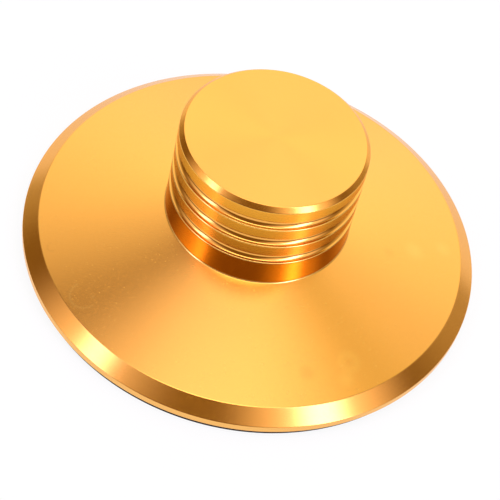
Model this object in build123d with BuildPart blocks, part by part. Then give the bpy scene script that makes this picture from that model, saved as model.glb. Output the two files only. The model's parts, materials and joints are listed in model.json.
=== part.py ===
from build123d import *
from math import radians, tan
import os

os.makedirs("parts", exist_ok=True)

# A record weight clamp: a body turned from one bar of metal, with a soft pad glued under it.
# Millimetres. The origin is where the spindle's axis meets the underside of the pad, and +Z is up.

# Base pad
pad_thickness = 1.35
pad_inset = 0.7             # the pad stops short of the rim by this much
pad_hole_margin = 0.8        # bare metal left round the mouth of the spindle bore

# Flared base
rim_radius = 40.0
rim_wall = 1.3               # the upright band round the rim
rim_edge_break = 0.1
rim_bevel_width = 2.55
rim_bevel_height = 2.1
flare_angle = 15.2           # rise of the cone, in degrees from level

# Knob, from its foot up: a plain band, then grooves with bands between them, then the bevelled top
knob_radius = 16.15
knob_foot_fillet = 0.25
foot_band = 5.2
groove_count = 3
groove_width = 2.0
groove_depth = 0.9           # each groove is a half ellipse in section
band_between_grooves = 2.25
top_band = 2.25
knob_bevel = 0.8

# Spindle bore, drilled from below
spindle_radius = 3.575
spindle_clearance = 0.075
bore_depth = 16.0            # of the straight wall, from the body's underside
bore_lead_in = 0.6
drill_point_angle = 118.0

# Levels and radii that follow from the sizes above
body_bottom = pad_thickness
rim_top = body_bottom + rim_wall
flare_radius = rim_radius - rim_bevel_width
flare_bottom = rim_top + rim_bevel_height
knob_foot = flare_bottom + (flare_radius - knob_radius) * tan(radians(flare_angle))
groove_pitch = groove_width + band_between_grooves
lowest_groove = knob_foot + foot_band + groove_width / 2
highest_groove = lowest_groove + (groove_count - 1) * groove_pitch
knob_shoulder = highest_groove + groove_width / 2 + top_band
knob_top = knob_shoulder + knob_bevel
groove_levels = [lowest_groove + i * groove_pitch for i in range(groove_count)]

bore_radius = spindle_radius + spindle_clearance
bore_mouth_radius = bore_radius + bore_lead_in
bore_end = body_bottom + bore_depth
drill_tip = bore_end + bore_radius / tan(radians(drill_point_angle / 2))
pad_radius = rim_radius - pad_inset
pad_hole_radius = bore_mouth_radius + pad_hole_margin

# The body: its half section is turned about the spindle's axis, then bored from below
with BuildPart() as clamp_body:
    with BuildSketch(Plane.XZ) as section:
        with BuildLine():
            Polyline(
                (0, body_bottom),
                (rim_radius, body_bottom),
                (rim_radius, rim_top),
                (flare_radius, flare_bottom),
                (knob_radius, knob_foot),
                (knob_radius, knob_top),
                (0, knob_top),
                close=True,
            )
        make_face()
        foot = section.vertices().sort_by_distance((knob_radius, knob_foot))[0]
        fillet(foot, knob_foot_fillet)
        shoulder = section.vertices().sort_by_distance((knob_radius, knob_top))[0]
        chamfer(shoulder, knob_bevel)
        lower_edge = section.vertices().sort_by_distance((rim_radius, body_bottom))[0]
        chamfer(lower_edge, rim_edge_break)
        with Locations(*[(knob_radius, level) for level in groove_levels]):
            Ellipse(groove_depth, groove_width / 2, mode=Mode.SUBTRACT)
    revolve(axis=Axis.Z)

    with BuildSketch(Plane.XZ):
        with BuildLine():
            Polyline(
                (0, body_bottom),
                (bore_mouth_radius, body_bottom),
                (bore_radius, body_bottom + bore_lead_in),
                (bore_radius, bore_end),
                (0, drill_tip),
                close=True,
            )
        make_face()
    revolve(axis=Axis.Z, mode=Mode.SUBTRACT)

# The pad: a flat ring cut from sheet, face to face with the body's underside
with BuildPart() as base_pad:
    with BuildSketch(Plane.XY):
        Circle(pad_radius)
        Circle(pad_hole_radius, mode=Mode.SUBTRACT)
    extrude(amount=pad_thickness)

clamp_body.part.label = "clamp_body"
base_pad.part.label = "base_pad"
export_step(clamp_body.part, "parts/clamp_body.step")
export_step(base_pad.part, "parts/base_pad.step")

print(f"knob foot {knob_foot:.2f}, knob top {knob_top:.2f}, bore radius {bore_radius:.3f}")
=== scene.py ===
import json
from math import atan2, cos, degrees, pi, radians, sin, sqrt, tan
import bmesh
import bpy
from mathutils import Matrix, Vector


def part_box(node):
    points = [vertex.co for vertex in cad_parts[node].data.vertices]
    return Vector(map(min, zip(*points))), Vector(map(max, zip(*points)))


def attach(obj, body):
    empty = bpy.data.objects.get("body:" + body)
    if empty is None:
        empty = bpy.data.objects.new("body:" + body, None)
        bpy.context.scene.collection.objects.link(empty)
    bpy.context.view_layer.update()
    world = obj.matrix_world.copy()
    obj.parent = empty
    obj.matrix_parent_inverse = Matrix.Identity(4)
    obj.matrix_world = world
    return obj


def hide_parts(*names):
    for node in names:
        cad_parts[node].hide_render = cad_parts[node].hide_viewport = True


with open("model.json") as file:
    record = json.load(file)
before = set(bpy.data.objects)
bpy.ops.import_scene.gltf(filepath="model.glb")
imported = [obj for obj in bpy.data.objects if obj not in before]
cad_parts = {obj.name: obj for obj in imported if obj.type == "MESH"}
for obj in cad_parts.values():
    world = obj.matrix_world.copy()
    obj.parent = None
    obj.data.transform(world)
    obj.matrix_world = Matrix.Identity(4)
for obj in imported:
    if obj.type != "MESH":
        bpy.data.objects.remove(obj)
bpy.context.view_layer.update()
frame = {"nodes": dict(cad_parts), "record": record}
mm = 0.001
print("frame loaded:", ", ".join(sorted(frame["nodes"])))


# Node helpers

def newMaterial(name):
    material = bpy.data.materials.new(name)
    material.use_nodes = True
    material.node_tree.nodes.clear()
    return material, material.node_tree


def addNode(tree, kind, values=None, **settings):
    node = tree.nodes.new(kind)
    for key, value in settings.items():
        setattr(node, key, value)
    for socket, value in (values or {}).items():
        node.inputs[socket].default_value = value
    return node


def addFade(tree):   # falls softly from 1 to 0
    return addNode(tree, "ShaderNodeMapRange", {"To Min": 1, "To Max": 0}, interpolation_type="SMOOTHSTEP")


def newGroup(name, inputs, outputs):
    group = bpy.data.node_groups.new(name, "ShaderNodeTree")
    for side, sockets in (("INPUT", inputs), ("OUTPUT", outputs)):
        for socket, kind in sockets.items():
            group.interface.new_socket(socket, in_out=side, socket_type="NodeSocket" + kind)
    return group, group.nodes.new("NodeGroupInput"), group.nodes.new("NodeGroupOutput")


def useGroup(tree, group, **values):
    node = tree.nodes.new("ShaderNodeGroup")
    node.node_tree = group
    for socket, value in values.items():
        node.inputs[socket].default_value = value
    return node


# Turned grain: fine rings round the spindle's axis, broken up along their length

def makeTurnedGrain():
    group, given, made = newGroup("turnedGrain", {"Rings": "Float", "Breaks": "Float"}, {"Grain": "Float"})
    link = group.links.new
    place = addNode(group, "ShaderNodeTexCoord")
    split = addNode(group, "ShaderNodeSeparateXYZ")
    flat = addNode(group, "ShaderNodeCombineXYZ")
    radius = addNode(group, "ShaderNodeVectorMath", operation="LENGTH")
    around = addNode(group, "ShaderNodeVectorMath", operation="NORMALIZE")
    outward = addNode(group, "ShaderNodeMath", operation="SUBTRACT")   # grows outwards and downwards
    rings = addNode(group, "ShaderNodeMath", operation="MULTIPLY")
    breaks = addNode(group, "ShaderNodeVectorMath", operation="SCALE")
    splitBreaks = addNode(group, "ShaderNodeSeparateXYZ")
    joined = addNode(group, "ShaderNodeCombineXYZ")
    noise = addNode(group, "ShaderNodeTexNoise", {"Scale": 1.0, "Detail": 2.0, "Roughness": 0.6})
    link(place.outputs["Object"], split.inputs[0])
    link(split.outputs["X"], flat.inputs["X"])
    link(split.outputs["Y"], flat.inputs["Y"])
    link(flat.outputs[0], radius.inputs[0])
    link(flat.outputs[0], around.inputs[0])
    link(radius.outputs["Value"], outward.inputs[0])
    link(split.outputs["Z"], outward.inputs[1])
    link(outward.outputs[0], rings.inputs[0])
    link(given.outputs["Rings"], rings.inputs[1])
    link(around.outputs[0], breaks.inputs[0])
    link(given.outputs["Breaks"], breaks.inputs["Scale"])
    link(breaks.outputs[0], splitBreaks.inputs[0])
    link(rings.outputs[0], joined.inputs["X"])
    link(splitBreaks.outputs["X"], joined.inputs["Y"])
    link(splitBreaks.outputs["Y"], joined.inputs["Z"])
    link(joined.outputs[0], noise.inputs["Vector"])
    link(noise.outputs[0], made.inputs["Grain"])
    return group


# Handling: slow cloudy change where fingers and dust have dulled the finish

def makeHandling():
    group, given, made = newGroup("handling", {"Scale": "Float"}, {"Cloud": "Float"})
    link = group.links.new
    place = addNode(group, "ShaderNodeTexCoord")
    noise = addNode(group, "ShaderNodeTexNoise", {"Detail": 3.0, "Roughness": 0.55})
    link(place.outputs["Object"], noise.inputs["Vector"])
    link(given.outputs["Scale"], noise.inputs["Scale"])
    link(noise.outputs[0], made.inputs["Cloud"])
    return group


# Grit: small scattered specks that the blasting left rougher than the rest

def makeGrit():
    group, given, made = newGroup("grit", {"Scale": "Float"}, {"Specks": "Float"})
    link = group.links.new
    place = addNode(group, "ShaderNodeTexCoord")
    noise = addNode(group, "ShaderNodeTexNoise", {"Detail": 1.0, "Roughness": 0.5})
    specks = addNode(group, "ShaderNodeMapRange", {"From Min": 0.5, "From Max": 0.72})
    specks.interpolation_type = "SMOOTHSTEP"
    link(place.outputs["Object"], noise.inputs["Vector"])
    link(given.outputs["Scale"], noise.inputs["Scale"])
    link(noise.outputs[0], specks.inputs["Value"])
    link(specks.outputs["Result"], made.inputs["Specks"])
    return group


# Spots: a soft dab, or a ring left open on one side, seen in plan; they carry wear marks, painted sheen
# and a painted glint

def makeWearAndSheenSpot():
    group, given, made = newGroup(
        "wearAndSheenSpot",
        {"Centre": "Vector", "Ring": "Float", "Width": "Float", "Open": "Vector", "Share": "Float"},
        {"Mask": "Float"},
    )
    link = group.links.new
    place = addNode(group, "ShaderNodeTexCoord")
    plan = addNode(group, "ShaderNodeVectorMath", {1: (1, 1, 0)}, operation="MULTIPLY")
    away = addNode(group, "ShaderNodeVectorMath", operation="SUBTRACT")
    distance = addNode(group, "ShaderNodeVectorMath", operation="LENGTH")
    offRing = addNode(group, "ShaderNodeMath", operation="SUBTRACT")
    gap = addNode(group, "ShaderNodeMath", operation="ABSOLUTE")
    fade = addFade(group)
    side = addNode(group, "ShaderNodeVectorMath", operation="DOT_PRODUCT")
    gate = addNode(group, "ShaderNodeMapRange", {"From Min": -0.1, "From Max": 0.0})
    both = addNode(group, "ShaderNodeMath", operation="MULTIPLY")
    link(place.outputs["Object"], plan.inputs[0])
    link(plan.outputs[0], away.inputs[0])
    link(given.outputs["Centre"], away.inputs[1])
    link(away.outputs[0], distance.inputs[0])
    link(distance.outputs["Value"], offRing.inputs[0])
    link(given.outputs["Ring"], offRing.inputs[1])
    link(offRing.outputs[0], gap.inputs[0])
    link(gap.outputs[0], fade.inputs["Value"])
    link(given.outputs["Width"], fade.inputs["From Max"])
    link(away.outputs[0], side.inputs[0])
    link(given.outputs["Open"], side.inputs[1])
    link(side.outputs["Value"], gate.inputs["Value"])
    link(given.outputs["Share"], gate.inputs["To Max"])
    link(fade.outputs["Result"], both.inputs[0])
    link(gate.outputs["Result"], both.inputs[1])
    link(both.outputs[0], made.inputs["Mask"])
    return group


# Tool lean: tilts the surface's normal up, as the tool's fine ridges do

def makeToolLean():
    group, given, made = newGroup("toolLean", {"Lean": "Float"}, {"Normal": "Vector"})
    link = group.links.new
    axis = addNode(group, "ShaderNodeVectorTransform", {0: (0, 0, 1)}, vector_type="VECTOR")
    axis.convert_from = "OBJECT"
    axis.convert_to = "WORLD"
    surface = addNode(group, "ShaderNodeNewGeometry")
    push = addNode(group, "ShaderNodeVectorMath", operation="MULTIPLY_ADD")
    unit = addNode(group, "ShaderNodeVectorMath", operation="NORMALIZE")
    link(axis.outputs[0], push.inputs[0])
    link(given.outputs["Lean"], push.inputs[1])
    link(surface.outputs["Normal"], push.inputs[2])
    link(push.outputs[0], unit.inputs[0])
    link(unit.outputs[0], made.inputs["Normal"])
    return group


turnedGrain = makeTurnedGrain()
handling = makeHandling()
grit = makeGrit()
wearAndSheenSpot = makeWearAndSheenSpot()
toolLean = makeToolLean()


# Wear and painted sheen on the cone: small marks and patches, paler or duller than the gold; the duller
# ones are real marks, the paler ones are painted sheen

wearAndSheen = {   # azimuth in degrees from the camera's side; radius, width and ring in millimetres
    # pale is painted sheen, a lighter gold standing in for the light the smudges catch; dull is the colour
    # of real marks
    "pale": (1.0, 0.60, 0.14, 1),
    "dull": (0.62, 0.24, 0.02, 1),
    "spots": [   # open is how sharply a ring stops on the side nearer the knob
        {"azimuth": -46, "radius": 34.0, "width": 0.3, "tone": "pale", "share": 0.28,
         "ring": 2.5, "open": 400},
        # a painted glint: a small pale dot standing in for a highlight
        {"azimuth": -44, "radius": 33.2, "width": 0.5, "tone": "pale", "share": 0.3},
        {"azimuth": 27, "radius": 32.0, "width": 2.0, "tone": "dull", "share": 0.3},
        {"azimuth": 41, "radius": 32.0, "width": 1.3, "tone": "pale", "share": 0.14, "ring": 1.3},
        {"azimuth": 38, "radius": 34.5, "width": 2.0, "tone": "pale", "share": 0.2},
        {"azimuth": -65, "radius": 35.6, "width": 0.16, "tone": "dull", "share": 0.3,
         "ring": 0.9, "open": 900},
        {"azimuth": 95, "radius": 28.5, "width": 2.6, "tone": "pale", "share": 0.16},
        {"azimuth": 100, "radius": 34.0, "width": 2.2, "tone": "pale", "share": 0.14},
        {"azimuth": 89, "radius": 24.0, "width": 1.6, "tone": "dull", "share": 0.15},
    ],
}


def addWearAndSheen(tree, tone):
    for spot in wearAndSheen["spots"]:
        turn = radians(spot["azimuth"])
        outward = Vector((sin(turn), -cos(turn), 0))
        mask = useGroup(
            tree, wearAndSheenSpot,
            Centre=outward * spot["radius"] * mm,
            Ring=spot.get("ring", 0) * mm,
            Width=spot["width"] * mm,
            Open=outward * spot.get("open", 0),
            Share=spot["share"],
        )
        worn = addNode(tree, "ShaderNodeMix", {"B": wearAndSheen[spot["tone"]]}, data_type="RGBA")
        tree.links.new(mask.outputs["Mask"], worn.inputs["Factor"])
        tree.links.new(tone.outputs["Result"], worn.inputs["A"])
        tone = worn
    return tone


# Gold anodised aluminium, in the finishes that the lathe and the blasting leave; the rim, lip, groove and
# foot shades also carry painted highlight and painted shade

anodising = {
    "edge": (1.0, 0.82, 0.6, 1),
    "filmIndex": 1.6,
    "grainTurn": 0.25,   # a quarter turn spreads light across the rings
    "grainSpan": (0.3, 0.7),   # the part of the grain that roughness follows
    "ringBreaks": 2.5,
    "speckleScale": 4200,
    "gritScale": 2600,
    "cloudScale": 70,
    "reliefDepth": 0.02 * mm,
    "surfaces": {   # what several finishes share; a finish adds to its surface, or differs from it
        "blasted": {"film": 0.7, "filmRoughness": 0.22, "rings": 3200, "speckle": 0.9, "bump": 0.3},
        "cut": {
            "roughness": (0.185, 0.205), "anisotropy": 0.65, "filmRoughness": 0.18,
            "rings": 4500, "speckle": 0.9, "bump": 0.15, "grit": 0.05,
        },
        "turned": {"filmRoughness": 0.18, "rings": 4500, "speckle": 0.3, "bump": 0.05},
        "polished": {
            "roughness": (0.10, 0.12), "anisotropy": 0.3, "film": 0.35, "filmRoughness": 0.12,
            "rings": 4500, "speckle": 0.3, "bump": 0.05,
        },
    },
    "finishes": {   # deep is where the film is a little thicker
        "goldCone": {
            "surface": "blasted", "gold": (0.88, 0.40, 0.052, 1), "deep": (0.86, 0.388, 0.048, 1),
            # worn adds the cone's marks: real wear, with painted sheen and a painted glint
            "roughness": (0.205, 0.211), "anisotropy": 0.4, "grit": 0.065, "worn": True,
        },
        "goldTop": {
            "surface": "blasted", "gold": (0.92, 0.424, 0.054, 1), "deep": (0.90, 0.411, 0.05, 1),
            "roughness": (0.30, 0.31), "anisotropy": 0.8, "grit": 0.05,
        },
        "goldRimCut": {
            "surface": "cut", "gold": (0.90, 0.40, 0.05, 1), "deep": (0.87, 0.38, 0.045, 1), "film": 0.6,
        },
        "goldKnobCut": {
            "surface": "cut", "gold": (0.90, 0.40, 0.055, 1), "deep": (0.87, 0.38, 0.05, 1), "film": 0.25,
        },
        "goldTurned": {
            "surface": "turned", "gold": (0.98, 0.455, 0.042, 1), "deep": (0.95, 0.435, 0.036, 1),
            "roughness": (0.22, 0.23), "anisotropy": 0.94, "film": 0.3,
            "speckle": 0.0, "bump": 0.006, "lean": 0.065,
        },
        # a darker gold on the knob's lowest band: painted shade for the dark reflection it takes from the
        # cone
        "goldFootPaintedShade": {
            "surface": "turned", "gold": (0.77, 0.37, 0.024, 1), "deep": (0.74, 0.355, 0.02, 1),
            "roughness": (0.22, 0.24), "anisotropy": 0.3, "film": 0.1,
        },
        # painted light: a paler, yellower gold on the groove's down-facing half, hiding the red cast of
        # light bouncing there
        "goldGroovePaintedLight": {
            "surface": "polished", "gold": (0.85, 0.58, 0.14, 1), "deep": (0.83, 0.56, 0.13, 1),
        },
        "goldHollow": {
            "surface": "polished", "gold": (0.90, 0.415, 0.07, 1), "deep": (0.87, 0.40, 0.065, 1),
        },
        # a paler gold on the groove lips and the round at the knob's foot: painted highlight lines
        "goldLipPaintedHighlight": {
            "surface": "polished", "gold": (0.92, 0.53, 0.13, 1), "deep": (0.89, 0.515, 0.12, 1),
        },
        # a paler gold on the rim wall: a painted highlight that gives it a thin light line
        "goldRimPaintedHighlight": {
            "surface": "turned", "gold": (0.97, 0.50, 0.11, 1), "deep": (0.95, 0.48, 0.10, 1),
            "roughness": (0.24, 0.27), "anisotropy": 0.6, "film": 0.6, "filmRoughness": 0.2,
        },
    },
}


def makeGold(name, shade):
    finish = {**anodising["surfaces"][shade["surface"]], **shade}
    material, tree = newMaterial(name)
    link = tree.links.new
    grain = useGroup(tree, turnedGrain, Rings=finish["rings"], Breaks=anodising["ringBreaks"])
    speckle = useGroup(tree, handling, Scale=anodising["speckleScale"])
    cloud = useGroup(tree, handling, Scale=anodising["cloudScale"])
    specks = useGroup(tree, grit, Scale=anodising["gritScale"])
    ridges = useGroup(tree, toolLean, Lean=finish.get("lean", 0))
    tone = addNode(tree, "ShaderNodeMix", {"A": finish["gold"], "B": finish["deep"]}, data_type="RGBA")
    rough = addNode(tree, "ShaderNodeMapRange", {
        "From Min": anodising["grainSpan"][0],
        "From Max": anodising["grainSpan"][1],
        "To Min": finish["roughness"][0],
        "To Max": finish["roughness"][1],
    })
    gritty = addNode(tree, "ShaderNodeMath", {1: finish.get("grit", 0)}, operation="MULTIPLY_ADD")
    relief = addNode(tree, "ShaderNodeMix", {"Factor": finish["speckle"]})
    bump = addNode(tree, "ShaderNodeBump", {
        "Strength": finish["bump"],
        "Distance": anodising["reliefDepth"],
    })
    along = addNode(tree, "ShaderNodeTangent", direction_type="RADIAL", axis="Z")
    metal = addNode(tree, "ShaderNodeBsdfPrincipled", {
        "Metallic": 1.0,
        "Specular Tint": anodising["edge"],
        "Anisotropic": finish["anisotropy"],
        "Anisotropic Rotation": anodising["grainTurn"],
        "Coat Weight": finish["film"],
        "Coat Roughness": finish["filmRoughness"],
        "Coat IOR": anodising["filmIndex"],
    })
    out = addNode(tree, "ShaderNodeOutputMaterial")
    link(cloud.outputs["Cloud"], tone.inputs["Factor"])
    # the cone's marks: real wear, with painted sheen and a painted glint among them
    if finish.get("worn"):
        tone = addWearAndSheen(tree, tone)
    link(tone.outputs["Result"], metal.inputs["Base Color"])
    link(grain.outputs["Grain"], rough.inputs["Value"])
    link(specks.outputs["Specks"], gritty.inputs[0])
    link(rough.outputs["Result"], gritty.inputs[2])
    link(gritty.outputs[0], metal.inputs["Roughness"])
    link(grain.outputs["Grain"], relief.inputs["A"])
    link(speckle.outputs["Cloud"], relief.inputs["B"])
    link(relief.outputs["Result"], bump.inputs["Height"])
    link(ridges.outputs["Normal"], bump.inputs["Normal"])
    link(bump.outputs["Normal"], metal.inputs["Normal"])
    link(along.outputs["Tangent"], metal.inputs["Tangent"])
    link(metal.outputs["BSDF"], out.inputs["Surface"])
    return material


goldMaterials = {name: makeGold(name, shade) for name, shade in anodising["finishes"].items()}
print("gold finishes made:", ", ".join(goldMaterials))


# Pad: dull black soft sheet with fine pores

padFinish = {
    "black": (0.012, 0.009, 0.007, 1),
    "worn": (0.024, 0.018, 0.013, 1),
    "cloudScale": 120,
    "poreScale": 2600,
    "poreBump": 0.4,
    "poreDepth": 0.05 * mm,
    "roughness": 0.85,
    "index": 1.45,
    "sheen": 0.2,
}


def makePadBlack():
    material, tree = newMaterial("padBlack")
    link = tree.links.new
    place = addNode(tree, "ShaderNodeTexCoord")
    pores = addNode(tree, "ShaderNodeTexNoise", {"Scale": padFinish["poreScale"], "Detail": 3.0})
    cloud = useGroup(tree, handling, Scale=padFinish["cloudScale"])
    shades = {"A": padFinish["black"], "B": padFinish["worn"]}
    tone = addNode(tree, "ShaderNodeMix", shades, data_type="RGBA")
    bump = addNode(tree, "ShaderNodeBump", {
        "Strength": padFinish["poreBump"],
        "Distance": padFinish["poreDepth"],
    })
    sheet = addNode(tree, "ShaderNodeBsdfPrincipled", {
        "Roughness": padFinish["roughness"],
        "IOR": padFinish["index"],
        "Specular IOR Level": padFinish["sheen"],
    })
    out = addNode(tree, "ShaderNodeOutputMaterial")
    link(place.outputs["Object"], pores.inputs["Vector"])
    link(cloud.outputs["Cloud"], tone.inputs["Factor"])
    link(tone.outputs["Result"], sheet.inputs["Base Color"])
    link(pores.outputs[0], bump.inputs["Height"])
    link(bump.outputs["Normal"], sheet.inputs["Normal"])
    link(sheet.outputs["BSDF"], out.inputs["Surface"])
    return material


padBlack = makePadBlack()
print("pad finish made:", padBlack.name)


# Drawing a half section with a moving tip, in millimetres: r outwards, z up

holdLoop = 0.2   # a loop this far from each end keeps a straight run's shading straight
mergeGap = 0.001   # points closer than this are one


def startAt(bm, r, z):
    return bm.verts.new((r * mm, 0, z * mm))


def runTo(bm, tip, r, z):
    start, end = tip.co.copy(), Vector((r * mm, 0, z * mm))
    length = (end - start).length
    shares = [1.0]
    if length > 3 * holdLoop * mm:   # a shorter run has no room for loops
        shares = [holdLoop * mm / length, 1 - holdLoop * mm / length, 1.0]
    for share in shares:
        tip = bmesh.ops.extrude_vert_indiv(bm, verts=[tip])["verts"][0]
        tip.co = start.lerp(end, share)
    return tip


def turnAbout(bm, tip, r, z, angle, steps):   # degrees, anticlockwise
    made = bmesh.ops.spin(
        bm, geom=[tip], cent=(r * mm, 0, z * mm), axis=(0, -1, 0), angle=radians(angle), steps=steps
    )
    return [part for part in made["geom_last"] if isinstance(part, bmesh.types.BMVert)][0]


def roundCorners(bm, corners, cut, segments):
    bmesh.ops.bevel(
        bm, geom=corners, offset=cut * mm, affect="VERTICES", segments=segments, profile=0.5, material=-1
    )


def spinSection(bm, steps):
    section = bm.verts[:] + bm.edges[:]
    bmesh.ops.spin(
        bm, geom=section, cent=(0, 0, 0), axis=(0, 0, 1), angle=2 * pi, steps=steps, use_merge=True
    )
    bmesh.ops.remove_doubles(bm, verts=bm.verts[:], dist=mergeGap * mm)
    bmesh.ops.recalc_face_normals(bm, faces=bm.faces[:])


def finishPiece(bm, name, materials, sharpAngle):
    mesh = bpy.data.meshes.new(name)
    bm.to_mesh(mesh)
    bm.free()
    for material in materials:
        mesh.materials.append(material)
    mesh.shade_smooth()
    mesh.set_sharp_from_angle(angle=radians(sharpAngle))
    piece = bpy.data.objects.new(name, mesh)
    bpy.context.collection.objects.link(piece)
    return piece


# Clamp body: one turning, from the top's centre round to the tip of the spindle bore

bodyLow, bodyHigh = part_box("clamp_body")
padLow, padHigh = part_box("base_pad")
mounts = {mount["name"]: mount for mount in frame["record"]["mounts"]}

turning = {   # millimetres and degrees
    "rimRadius": bodyHigh.x / mm,
    "underside": bodyLow.z / mm,
    "top": bodyHigh.z / mm,
    "rimWall": 1.3,
    "rimBevelWidth": 2.55,
    "rimBevelHeight": 2.1,
    "edgeBreak": 0.1,
    "flareAngle": 15.2,
    "knobRadius": 16.15,
    "knobBevel": 0.8,
    "footFillet": 0.25,
    "filletSteps": 10,
    "grooves": 3,
    "groovePitch": 4.25,
    "grooveRadius": 1.0,
    "grooveSteps": 20,
    "lipRadius": 0.13,
    "lipSteps": 4,
    "topBand": 2.25,
    "boreRadius": mounts["spindle_bore"]["dims"]["r_mm"],
    "boreDepth": 16.0,
    "leadIn": 0.6,
    "drillAngle": 118.0,
    "softEdge": 0.07,
    "softSteps": 3,
    "steps": 288,
    "sharpAngle": 32,
}


def lipReach():   # from a groove's middle to the middle of its lip
    lip = turning["lipRadius"]
    return sqrt((turning["grooveRadius"] + lip) ** 2 - lip ** 2)


def drawGroove(bm, tip, level):
    wall, lip, reach = turning["knobRadius"], turning["lipRadius"], lipReach()
    lean = degrees(atan2(lip, reach))
    tip = runTo(bm, tip, wall, level + reach)
    tip = turnAbout(bm, tip, wall - lip, level + reach, lean - 90, turning["lipSteps"])
    tip = turnAbout(bm, tip, wall, level, 180 - 2 * lean, turning["grooveSteps"])
    return turnAbout(bm, tip, wall - lip, level - reach, lean - 90, turning["lipSteps"])


def drawFootFillet(bm, tip, foot):
    wall, fillet = turning["knobRadius"], turning["footFillet"]
    turn = 90 - turning["flareAngle"]
    start = foot + fillet * tan(radians(turn / 2))
    tip = runTo(bm, tip, wall, start)
    return turnAbout(bm, tip, wall + fillet, start, turn, turning["filletSteps"])


zones = {   # what tells one finish from another on the turned faces
    "flatSlope": 0.85,   # upward share of the normal, on the cone and the top
    "cutSlope": 0.3,   # the same, on the bevels
    "offWall": 0.005,   # millimetres in or out from the knob's wall
    "inGroove": 0.01,   # the same, on faces that look down
    "lipShare": 0.985,   # of the groove's radius, up or down from its middle
}


def finishOf(face, shoulder, rimTop, levels):   # heights in millimetres
    middle = face.calc_center_median() / mm
    slope = face.normal.z
    radius = middle.xy.length
    wall = turning["knobRadius"]
    onRim = radius > turning["rimRadius"] - turning["rimBevelWidth"]
    if onRim and (middle.z < rimTop or slope < zones["cutSlope"]):
        # the rim wall and underside take the paler rim shade, a painted highlight
        return "goldRimPaintedHighlight"
    if slope > zones["flatSlope"] and middle.z > shoulder:
        return "goldTop"
    if slope > zones["flatSlope"] and radius > wall:
        return "goldCone"
    if slope > zones["cutSlope"] and (onRim or middle.z > shoulder):
        return "goldRimCut" if onRim else "goldKnobCut"
    if slope > 0 and radius > wall + zones["offWall"]:
        return "goldLipPaintedHighlight"   # the small radius round the knob's foot, painted paler: a painted highlight line
    if middle.z < levels[-1] - lipReach():
        # the lowest band, in the darker painted-shade gold
        return "goldFootPaintedShade"
    if slope > 0 and radius < wall - zones["offWall"]:
        away = min(abs(middle.z - level) for level in levels)
        # the grooves' lips take the paler lip shade, painted highlight lines
        return "goldLipPaintedHighlight" if away > turning["grooveRadius"] * zones["lipShare"] else "goldHollow"
    if radius < wall - zones["inGroove"]:
        return "goldGroovePaintedLight"   # the half that faces down, painted a paler, yellower gold in place of the reddish light that bounces in the groove
    return "goldTurned"


def makeBody():
    rim, wall, bore = turning["rimRadius"], turning["knobRadius"], turning["boreRadius"]
    bottom, top = turning["underside"], turning["top"]
    rimTop = bottom + turning["rimWall"]
    flareRadius = rim - turning["rimBevelWidth"]
    flareBottom = rimTop + turning["rimBevelHeight"]
    foot = flareBottom + (flareRadius - wall) * tan(radians(turning["flareAngle"]))
    shoulder = top - turning["knobBevel"]
    highest = shoulder - turning["topBand"] - turning["grooveRadius"]
    levels = [highest - i * turning["groovePitch"] for i in range(turning["grooves"])]
    boreEnd = bottom + turning["boreDepth"]
    drillTip = boreEnd + bore / tan(radians(turning["drillAngle"] / 2))
    softCorners = []
    bm = bmesh.new()
    tip = startAt(bm, 0, top)
    for r, z in ((wall - turning["knobBevel"], top), (wall, shoulder)):
        tip = runTo(bm, tip, r, z)
        softCorners.append(tip)
    for level in levels:
        tip = drawGroove(bm, tip, level)
    tip = drawFootFillet(bm, tip, foot)
    for r, z in ((flareRadius, flareBottom), (rim, rimTop), (rim, bottom + turning["edgeBreak"])):
        tip = runTo(bm, tip, r, z)
        softCorners.append(tip)
    tip = runTo(bm, tip, rim - turning["edgeBreak"], bottom)
    tip = runTo(bm, tip, bore + turning["leadIn"], bottom)
    tip = runTo(bm, tip, bore, bottom + turning["leadIn"])
    tip = runTo(bm, tip, bore, boreEnd)
    runTo(bm, tip, 0, drillTip)
    roundCorners(bm, softCorners, turning["softEdge"], turning["softSteps"])
    spinSection(bm, turning["steps"])
    names = list(goldMaterials)
    for face in bm.faces:
        face.material_index = names.index(finishOf(face, shoulder, rimTop, levels))
    return finishPiece(bm, "clampBody", goldMaterials.values(), turning["sharpAngle"])


body = makeBody()
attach(body, "root")
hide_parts("clamp_body")
print("body turned:", len(body.data.polygons), "faces")


# Base pad: a ring cut from sheet, with its edges a little soft

padCut = {   # millimetres and degrees
    "radius": padHigh.x / mm,
    "thickness": (padHigh.z - padLow.z) / mm,
    "hole": 5.05,
    "softEdge": 0.04,
    "softSteps": 4,
    "steps": 192,
    "sharpAngle": 40,
}


def makePad():
    outer, inner, high = padCut["radius"], padCut["hole"], padCut["thickness"]
    bm = bmesh.new()
    corners = [startAt(bm, inner, high)]
    for r, z in ((outer, high), (outer, 0), (inner, 0)):
        corners.append(runTo(bm, corners[-1], r, z))
    last = runTo(bm, corners[-1], inner, high)
    bmesh.ops.weld_verts(bm, targetmap={last: corners[0]})
    roundCorners(bm, corners, padCut["softEdge"], padCut["softSteps"])
    spinSection(bm, padCut["steps"])
    return finishPiece(bm, "basePad", [padBlack], padCut["sharpAngle"])


pad = makePad()
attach(pad, "root")
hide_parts("base_pad")
print("pad cut:", len(pad.data.polygons), "faces")


# Table: pale, and close to plain white where the camera or the metal sees it

table = {
    "radius": 6.0,
    "segments": 96,
    "sharpAngle": 30,
    "drop": 0.15 * mm,
    "colour": (0.88, 0.86, 0.80, 1),
    "white": (1, 1, 1, 1),
    "glow": 0.9,
}


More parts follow.
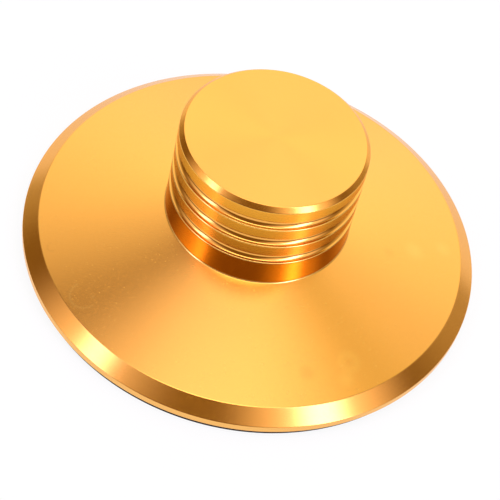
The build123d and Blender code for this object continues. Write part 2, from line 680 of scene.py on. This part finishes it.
def makeTablePale():
    material, tree = newMaterial("tablePale")
    link = tree.links.new
    path = addNode(tree, "ShaderNodeLightPath")
    seen = addNode(tree, "ShaderNodeMath", operation="MAXIMUM")
    seenAny = addNode(tree, "ShaderNodeMath", operation="MAXIMUM")
    share = addNode(tree, "ShaderNodeMath", {1: table["glow"]}, operation="MULTIPLY")
    matt = addNode(tree, "ShaderNodeBsdfDiffuse", {"Color": table["colour"]})
    white = addNode(tree, "ShaderNodeEmission", {"Color": table["white"], "Strength": 1.0})
    mix = addNode(tree, "ShaderNodeMixShader")
    out = addNode(tree, "ShaderNodeOutputMaterial")
    link(path.outputs["Is Camera Ray"], seen.inputs[0])
    link(path.outputs["Is Glossy Ray"], seen.inputs[1])
    link(seen.outputs[0], seenAny.inputs[0])
    link(path.outputs["Is Transmission Ray"], seenAny.inputs[1])
    link(seenAny.outputs[0], share.inputs[0])
    link(share.outputs[0], mix.inputs["Fac"])
    link(matt.outputs[0], mix.inputs[1])
    link(white.outputs[0], mix.inputs[2])
    link(mix.outputs[0], out.inputs["Surface"])
    return material


def makeTable():
    bm = bmesh.new()
    bmesh.ops.create_circle(bm, cap_ends=True, radius=table["radius"], segments=table["segments"])
    bmesh.ops.translate(bm, verts=bm.verts[:], vec=(0, 0, padLow.z - table["drop"]))
    top = finishPiece(bm, "tableTop", [makeTablePale()], table["sharpAngle"])


makeTable()
print("table laid")


# Studio: a dim warm room with soft panels all round

studio = {
    "fill": (0.225, 0.148, 0.044),
    "grazing": 0.02,   # smallest cosine at which a direction still meets a panel
    "panels": [   # azimuth from the camera's side, to the right; half sizes and soft edges as tangents
        {"name": "back", "azimuth": 180, "elevation": 40,
         "wide": (0.52, 0.45), "tall": (0.555, 0.15), "light": (1.33, 1.33, 1.33)},
        {"name": "backLow", "azimuth": 180, "elevation": 4,
         "wide": (1.0, 0.3), "tall": (0.1, 0.05), "light": (1.1, 1.1, 1.1)},
        {"name": "overhead", "azimuth": 180, "elevation": 88,
         "wide": (0.37, 0.28), "tall": (0.23, 0.06), "light": (1.35, 1.35, 1.63)},
        {"name": "overFront", "azimuth": 0, "elevation": 75.5,
         "wide": (0.3, 0.15), "tall": (0.17, 0.08), "light": (3.2, 3.2, 3.4)},
        {"name": "rightHigh", "azimuth": 122, "elevation": 65,
         "wide": (0.1, 0.1), "tall": (0.1, 0.45), "light": (1.1, 1.1, 0.4)},
        {"name": "rightSide", "azimuth": 135, "elevation": 28,
         "wide": (0.3, 0.6), "tall": (0.35, 0.35), "light": (0.93, 0.95, 0.85)},
        {"name": "leftSide", "azimuth": -140, "elevation": 26,
         "wide": (0.35, 0.25), "tall": (0.4, 0.2), "light": (0.5, 0.52, 0.42)},
        {"name": "left", "azimuth": -57, "elevation": 36, "lean": -25,
         "wide": (0.09, 0.08), "tall": (0.4, 0.07), "light": (3.4, 3.2, 6.8)},
        {"name": "leftGlow", "azimuth": -63, "elevation": 38,
         "wide": (0.15, 0.55), "tall": (0.42, 0.14), "light": (2.0, 1.95, 2.4)},
        {"name": "right", "azimuth": 54, "elevation": 36, "lean": -2,
         "wide": (0.11, 0.08), "tall": (0.4, 0.07), "light": (4.9, 4.8, 10.0)},
        {"name": "rightGlow", "azimuth": 55, "elevation": 38,
         "wide": (0.4, 0.32), "tall": (0.42, 0.14), "light": (1.35, 1.3, 1.5)},
    ],
}


def makeSoftPanel():
    group, given, made = newGroup(
        "softPanel",
        {
            "Direction": "Vector", "Facing": "Vector", "Across": "Vector", "Upward": "Vector",
            "Wide": "Float", "WideSoft": "Float", "Tall": "Float", "TallSoft": "Float",
        },
        {"Mask": "Float"},
    )
    link = group.links.new
    facing = addNode(group, "ShaderNodeVectorMath", operation="DOT_PRODUCT")
    ahead = addNode(group, "ShaderNodeMath", {1: studio["grazing"]}, operation="MAXIMUM")
    mask = addNode(group, "ShaderNodeMath", {1: studio["grazing"]}, operation="GREATER_THAN")
    link(given.outputs["Direction"], facing.inputs[0])
    link(given.outputs["Facing"], facing.inputs[1])
    link(facing.outputs["Value"], ahead.inputs[0])
    link(facing.outputs["Value"], mask.inputs[0])
    for axis, half in (("Across", "Wide"), ("Upward", "Tall")):
        along = addNode(group, "ShaderNodeVectorMath", operation="DOT_PRODUCT")
        share = addNode(group, "ShaderNodeMath", operation="DIVIDE")
        size = addNode(group, "ShaderNodeMath", operation="ABSOLUTE")
        inner = addNode(group, "ShaderNodeMath", operation="SUBTRACT")
        outer = addNode(group, "ShaderNodeMath", operation="ADD")
        fade = addFade(group)
        both = addNode(group, "ShaderNodeMath", operation="MULTIPLY")
        link(given.outputs["Direction"], along.inputs[0])
        link(given.outputs[axis], along.inputs[1])
        link(along.outputs["Value"], share.inputs[0])
        link(ahead.outputs[0], share.inputs[1])
        link(share.outputs[0], size.inputs[0])
        for edge in (inner, outer):
            link(given.outputs[half], edge.inputs[0])
            link(given.outputs[half + "Soft"], edge.inputs[1])
        link(size.outputs[0], fade.inputs["Value"])
        link(inner.outputs[0], fade.inputs["From Min"])
        link(outer.outputs[0], fade.inputs["From Max"])
        link(mask.outputs[0], both.inputs[0])
        link(fade.outputs["Result"], both.inputs[1])
        mask = both
    link(mask.outputs[0], made.inputs["Mask"])
    return group


def placePanel(tree, softPanel, panel):
    turn, rise = radians(panel["azimuth"]), radians(panel["elevation"])
    facing = Vector((sin(turn) * cos(rise), -cos(turn) * cos(rise), sin(rise)))
    level = Vector((cos(turn), sin(turn), 0))
    upright = facing.cross(level)
    lean = radians(panel.get("lean", 0))   # turns the panel's top towards a larger azimuth
    mask = useGroup(
        tree, softPanel,
        Facing=facing,
        Across=level * cos(lean) - upright * sin(lean),
        Upward=upright * cos(lean) + level * sin(lean),
        Wide=panel["wide"][0],
        WideSoft=panel["wide"][1],
        Tall=panel["tall"][0],
        TallSoft=panel["tall"][1],
    )
    mask.label = panel["name"]
    return mask


def lightStudio():
    world = bpy.data.worlds.new("studio")
    bpy.context.scene.world = world
    world.use_nodes = True
    tree = world.node_tree
    tree.nodes.clear()
    link = tree.links.new
    place = addNode(tree, "ShaderNodeTexCoord")
    light = addNode(tree, "ShaderNodeBackground", {"Strength": 1.0})
    out = addNode(tree, "ShaderNodeOutputWorld")
    softPanel = makeSoftPanel()
    total = addNode(tree, "ShaderNodeCombineXYZ", dict(zip("XYZ", studio["fill"])))
    for panel in studio["panels"]:
        mask = placePanel(tree, softPanel, panel)
        add = addNode(tree, "ShaderNodeVectorMath", {1: panel["light"]}, operation="MULTIPLY_ADD")
        link(place.outputs["Generated"], mask.inputs["Direction"])
        link(mask.outputs["Mask"], add.inputs[0])
        link(total.outputs[0], add.inputs[2])
        total = add
    link(total.outputs[0], light.inputs["Color"])
    link(light.outputs[0], out.inputs["Surface"])


lightStudio()
print("studio lit:", len(studio["panels"]), "panels")


# Camera, where the photograph was taken from

view = {   # angles in degrees, lengths in metres, the lens in millimetres
    "lens": 136.3,
    "clipStart": 0.01,
    "distance": 333.58 * mm,
    "aimHeight": 2.65 * mm,
    "elevation": 49.437,
    "pan": 0.0743,
    "tilt": -0.3625,
    "roll": 14.2108,
}


def makeCamera():
    data = bpy.data.cameras.new("photoCamera")
    data.lens = view["lens"]
    data.clip_start = view["clipStart"]
    camera = bpy.data.objects.new("photoCamera", data)
    bpy.context.collection.objects.link(camera)
    rise = radians(view["elevation"])
    stand = Vector((0, -cos(rise), sin(rise))) * view["distance"] + Vector((0, 0, view["aimHeight"]))
    camera.matrix_world = (
        Matrix.Translation(stand)
        @ Matrix.Rotation(pi / 2 - rise, 4, "X")
        @ Matrix.Rotation(radians(-view["pan"]), 4, "Y")
        @ Matrix.Rotation(radians(view["tilt"]), 4, "X")
        @ Matrix.Rotation(radians(view["roll"]), 4, "Z")
    )
    bpy.context.scene.camera = camera


makeCamera()
bpy.context.scene.view_settings.view_transform = "Standard"
print("camera set")
